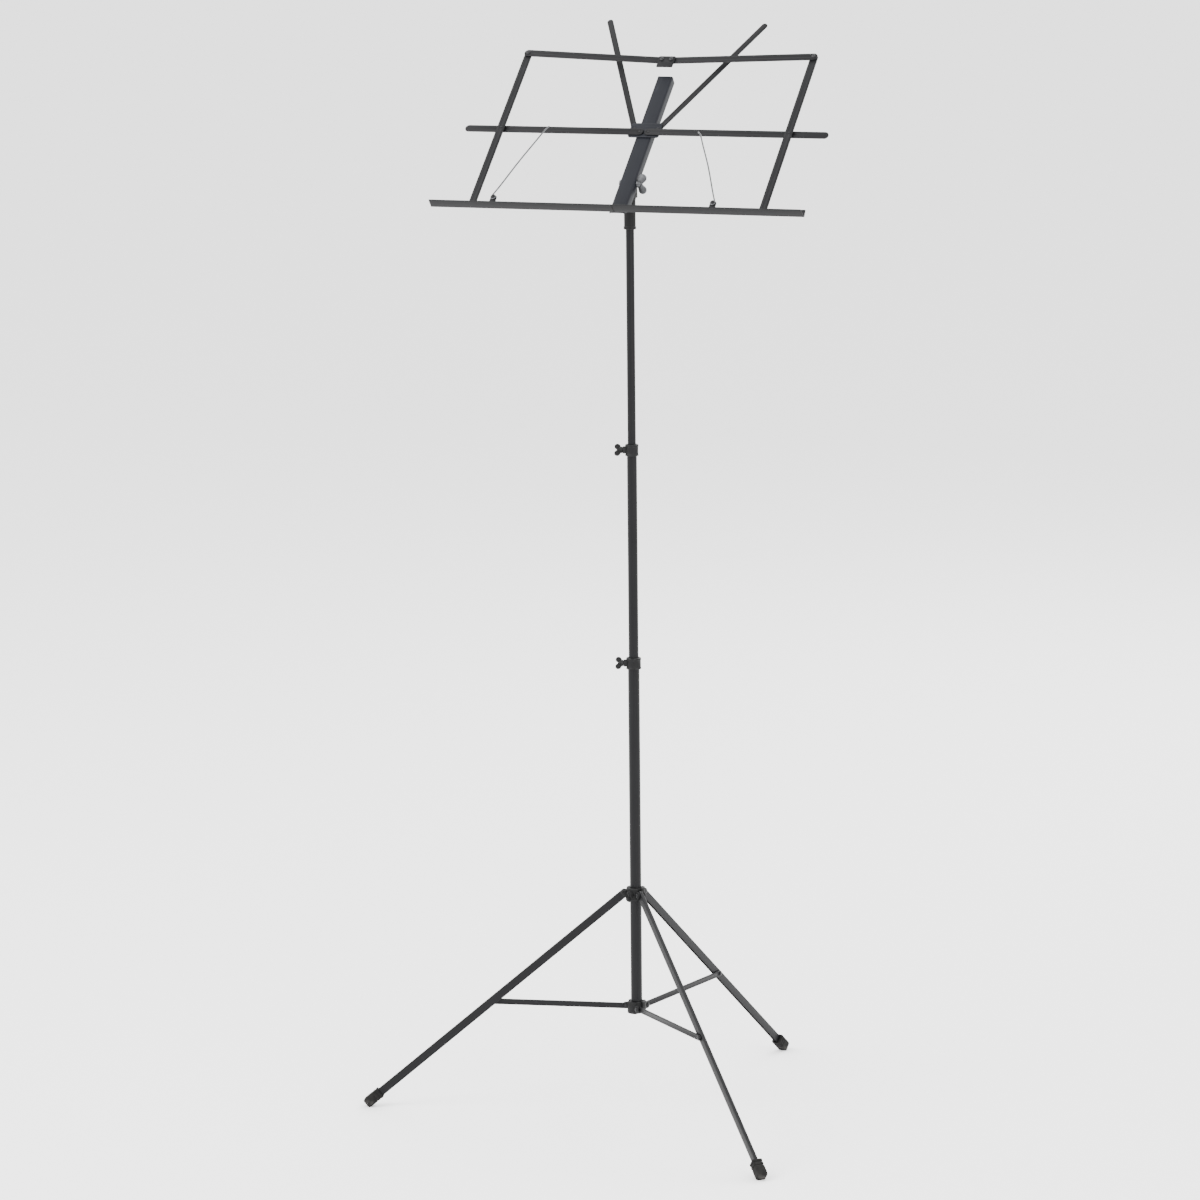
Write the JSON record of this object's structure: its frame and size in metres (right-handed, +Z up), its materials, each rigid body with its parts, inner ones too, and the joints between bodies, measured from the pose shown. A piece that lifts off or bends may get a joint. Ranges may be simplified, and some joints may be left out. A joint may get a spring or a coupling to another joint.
{
  "type": "folding music stand",
  "caption": "Folding music stand: tripod base, telescoping tube pole with wing-screw clamps, and a tilting, swivelling desk of flat straps with page wires.",
  "frame": {"origin": "on the floor, at the middle of the stand's footprint box", "axes": "+Z up along the pole; the desk faces -Y and its ledge runs along X"},
  "size_m": [0.581, 0.5598, 1.3226],
  "materials": {
    "tube": "satin black powder coat on round steel tube",
    "strap": "satin black paint on flat steel strap",
    "spine": "satin charcoal paint on a pressed steel channel",
    "moulding": "matt black moulded nylon",
    "rubber": "matt black rubber",
    "rivet": "blackened steel, worn on the domes",
    "zinc": "dull zinc plate",
    "wire": "bright drawn steel wire"
  },
  "bodies": {
    "lower_tube": {"lower_tube": "tube", "strut_collar": "moulding", "lower_clamp_collar": "moulding", "strut_pin_1": "rivet", "strut_pin_2": "rivet", "strut_pin_3": "rivet"},
    "lower_wing_screw": {"lower_wing_screw": "moulding"},
    "leg_hub": {"leg_hub": "moulding", "leg_pin_1": "rivet", "leg_pin_2": "rivet", "leg_pin_3": "rivet"},
    "hub_wing_screw": {"hub_wing_screw": "moulding"},
    "middle_tube": {"middle_tube": "tube", "upper_clamp_collar": "moulding"},
    "upper_wing_screw": {"upper_wing_screw": "moulding"},
    "top_tube": {"top_tube": "tube"},
    "desk_socket": {"desk_socket": "moulding", "tilt_bolt": "zinc"},
    "tilt_wing_nut": {"tilt_wing_nut": "zinc"},
    "spine": {"spine": "spine", "cross_plate": "spine", "ledge_rivet_left": "rivet", "ledge_rivet_right": "rivet", "mid_rivet_left": "rivet", "mid_rivet_right": "rivet", "extension_rivet_left": "rivet", "extension_rivet_right": "rivet"},
    "top_joint_plate": {"top_joint_plate": "strap", "top_joint_rivet_left": "rivet", "top_joint_rivet_right": "rivet"},
    "leg_1": {"leg_1": "strap", "foot_1": "rubber"},
    "strut_1": {"strut_1": "strap", "strut_rivet_1": "rivet"},
    "leg_2": {"leg_2": "strap", "foot_2": "rubber"},
    "strut_2": {"strut_2": "strap", "strut_rivet_2": "rivet"},
    "leg_3": {"leg_3": "strap", "foot_3": "rubber"},
    "strut_3": {"strut_3": "strap", "strut_rivet_3": "rivet"},
    "ledge_arm_left": {"ledge_arm_left": "strap"},
    "mid_arm_left": {"mid_arm_left": "strap"},
    "side_bar_left": {"side_bar_left": "strap", "side_ledge_rivet_left": "rivet", "side_mid_rivet_left": "rivet", "top_corner_rivet_left": "rivet"},
    "top_arm_left": {"top_arm_left": "strap"},
    "extension_arm_left": {"extension_arm_left": "strap"},
    "page_wire_left": {"page_wire_left": "wire"},
    "ledge_arm_right": {"ledge_arm_right": "strap"},
    "mid_arm_right": {"mid_arm_right": "strap"},
    "side_bar_right": {"side_bar_right": "strap", "side_ledge_rivet_right": "rivet", "side_mid_rivet_right": "rivet", "top_corner_rivet_right": "rivet"},
    "top_arm_right": {"top_arm_right": "strap"},
    "extension_arm_right": {"extension_arm_right": "strap"},
    "page_wire_right": {"page_wire_right": "wire"}
  },
  "joints": [
    {"name": "lower_wing_screw_turn", "type": "hinge", "parent": "lower_tube", "child": "lower_wing_screw", "pos_m": [0.02541, -0.05563, 0.55841], "axis": [-0.9397, -0.342, 0], "range_deg": [0, 270]},
    {"name": "tripod_fold", "type": "slide", "parent": "lower_tube", "child": "leg_hub", "axis": [0, 0, 1], "range_m": [0, 0.23906]},
    {"name": "hub_wing_screw_turn", "type": "hinge", "parent": "leg_hub", "child": "hub_wing_screw", "pos_m": [0.02994, -0.06064, 0.27335], "axis": [-0.1908, -0.9816, 0], "range_deg": [0, 270]},
    {"name": "middle_tube_slide", "type": "slide", "parent": "lower_tube", "child": "middle_tube", "axis": [0, 0, 1], "range_m": [-0.238, 0.08]},
    {"name": "upper_wing_screw_turn", "type": "hinge", "parent": "middle_tube", "child": "upper_wing_screw", "pos_m": [0.02635, -0.05529, 0.81841], "axis": [-0.9397, -0.342, 0], "range_deg": [0, 270]},
    {"name": "top_tube_slide", "type": "slide", "parent": "middle_tube", "child": "top_tube", "axis": [0, 0, 1], "range_m": [-0.232, 0.066]},
    {"name": "desk_swivel", "type": "hinge", "parent": "top_tube", "child": "desk_socket", "pos_m": [0.03133, -0.05348, 1.1], "axis": [0, 0, 1], "continuous": true},
    {"name": "tilt_wing_nut_turn", "type": "hinge", "parent": "desk_socket", "child": "tilt_wing_nut", "pos_m": [0.03133, -0.05348, 1.13741], "axis": [1, 0, 0], "range_deg": [0, 180]},
    {"name": "desk_tilt", "type": "hinge", "parent": "desk_socket", "child": "spine", "pos_m": [0.03133, -0.05348, 1.13741], "axis": [1, 0, 0], "range_deg": [-45.25, 34.75]},
    {"name": "leg_1_fold", "type": "hinge", "parent": "leg_hub", "child": "leg_1", "pos_m": [0.0181, -0.05804, 0.27335], "axis": [0.3256, -0.9455, 0], "range_deg": [0, 50]},
    {"name": "strut_1_fold", "type": "hinge", "parent": "lower_tube", "child": "strut_1", "pos_m": [0.0181, -0.05804, 0.13091], "axis": [-0.3256, 0.9455, 0], "range_deg": [0, 88.75]},
    {"name": "leg_2_fold", "type": "hinge", "parent": "leg_hub", "child": "leg_2", "pos_m": [0.0419, -0.06266, 0.27335], "axis": [0.6561, 0.7547, 0], "range_deg": [0, 50]},
    {"name": "strut_2_fold", "type": "hinge", "parent": "lower_tube", "child": "strut_2", "pos_m": [0.0419, -0.06266, 0.13091], "axis": [-0.6561, -0.7547, 0], "range_deg": [0, 88.75]},
    {"name": "leg_3_fold", "type": "hinge", "parent": "leg_hub", "child": "leg_3", "pos_m": [0.03401, -0.03973, 0.27335], "axis": [-0.9816, 0.1908, 0], "range_deg": [0, 50]},
    {"name": "strut_3_fold", "type": "hinge", "parent": "lower_tube", "child": "strut_3", "pos_m": [0.03401, -0.03973, 0.13091], "axis": [0.9816, -0.1908, 0], "range_deg": [0, 88.75]},
    {"name": "desk_fold", "type": "hinge", "parent": "spine", "child": "ledge_arm_right", "pos_m": [0.03698, -0.09622, 1.11346], "axis": [0, -0.7102, 0.704], "range_deg": [0, 88]},
    {"name": "ledge_arm_left_fold", "type": "hinge", "parent": "spine", "child": "ledge_arm_left", "pos_m": [0.02568, -0.09622, 1.11346], "axis": [0, -0.7102, 0.704], "range_deg": [-88, 0]},
    {"name": "mid_arm_right_fold", "type": "hinge", "parent": "spine", "child": "mid_arm_right", "pos_m": [0.03698, -0.01174, 1.19869], "axis": [0, -0.7102, 0.704], "range_deg": [0, 88]},
    {"name": "mid_arm_left_fold", "type": "hinge", "parent": "spine", "child": "mid_arm_left", "pos_m": [0.02568, -0.01174, 1.19869], "axis": [0, -0.7102, 0.704], "range_deg": [-88, 0]},
    {"name": "side_bar_right_fold", "type": "hinge", "parent": "ledge_arm_right", "child": "side_bar_right", "pos_m": [0.21833, -0.09622, 1.11346], "axis": [0, -0.7102, 0.704], "range_deg": [-88, 0]},
    {"name": "side_bar_left_fold", "type": "hinge", "parent": "ledge_arm_left", "child": "side_bar_left", "pos_m": [-0.15567, -0.09622, 1.11346], "axis": [0, -0.7102, 0.704], "range_deg": [0, 88]},
    {"name": "top_arm_right_fold", "type": "hinge", "parent": "side_bar_right", "child": "top_arm_right", "pos_m": [0.21833, 0.07105, 1.2822], "axis": [0, -0.7102, 0.704], "range_deg": [0, 85.46]},
    {"name": "top_arm_left_fold", "type": "hinge", "parent": "side_bar_left", "child": "top_arm_left", "pos_m": [-0.15567, 0.07105, 1.2822], "axis": [0, -0.7102, 0.704], "range_deg": [-85.46, 0]},
    {"name": "top_joint_turn", "type": "hinge", "parent": "top_arm_left", "child": "top_joint_plate", "pos_m": [0.02533, 0.06231, 1.2782], "axis": [0, -0.7102, 0.704], "range_deg": [0, 85.46]},
    {"name": "extension_arm_right_swing", "type": "hinge", "parent": "spine", "child": "extension_arm_right", "pos_m": [0.04633, -0.00702, 1.20344], "axis": [0, 0.7102, -0.704], "range_deg": [-28.5, 51.5]},
    {"name": "page_wire_right_swing", "type": "hinge", "parent": "ledge_arm_right", "child": "page_wire_right", "pos_m": [0.15933, -0.10503, 1.12219], "axis": [0, 0.7102, -0.704], "range_deg": [-55, 60]},
    {"name": "extension_arm_left_swing", "type": "hinge", "parent": "spine", "child": "extension_arm_left", "pos_m": [0.01633, -0.00702, 1.20344], "axis": [0, -0.7102, 0.704], "range_deg": [-26, 54]},
    {"name": "page_wire_left_swing", "type": "hinge", "parent": "ledge_arm_left", "child": "page_wire_left", "pos_m": [-0.12367, -0.10503, 1.12219], "axis": [0, -0.7102, 0.704], "range_deg": [-55, 60]}
  ],
  "couplings": [
    {"joint": "leg_1_fold", "follows": "tripod_fold", "rad_per_m": 3.6504},
    {"joint": "strut_1_fold", "follows": "tripod_fold", "rad_per_m": 6.4797},
    {"joint": "leg_2_fold", "follows": "tripod_fold", "rad_per_m": 3.6504},
    {"joint": "strut_2_fold", "follows": "tripod_fold", "rad_per_m": 6.4797},
    {"joint": "leg_3_fold", "follows": "tripod_fold", "rad_per_m": 3.6504},
    {"joint": "strut_3_fold", "follows": "tripod_fold", "rad_per_m": 6.4797},
    {"joint": "ledge_arm_left_fold", "follows": "desk_fold", "ratio": -1},
    {"joint": "mid_arm_right_fold", "follows": "desk_fold", "ratio": 1},
    {"joint": "mid_arm_left_fold", "follows": "desk_fold", "ratio": -1},
    {"joint": "side_bar_right_fold", "follows": "desk_fold", "ratio": -1},
    {"joint": "side_bar_left_fold", "follows": "desk_fold", "ratio": 1},
    {"joint": "top_arm_right_fold", "follows": "desk_fold", "ratio": 0.97115},
    {"joint": "top_arm_left_fold", "follows": "desk_fold", "ratio": -0.97115},
    {"joint": "top_joint_turn", "follows": "desk_fold", "ratio": 0.97115}
  ]
}
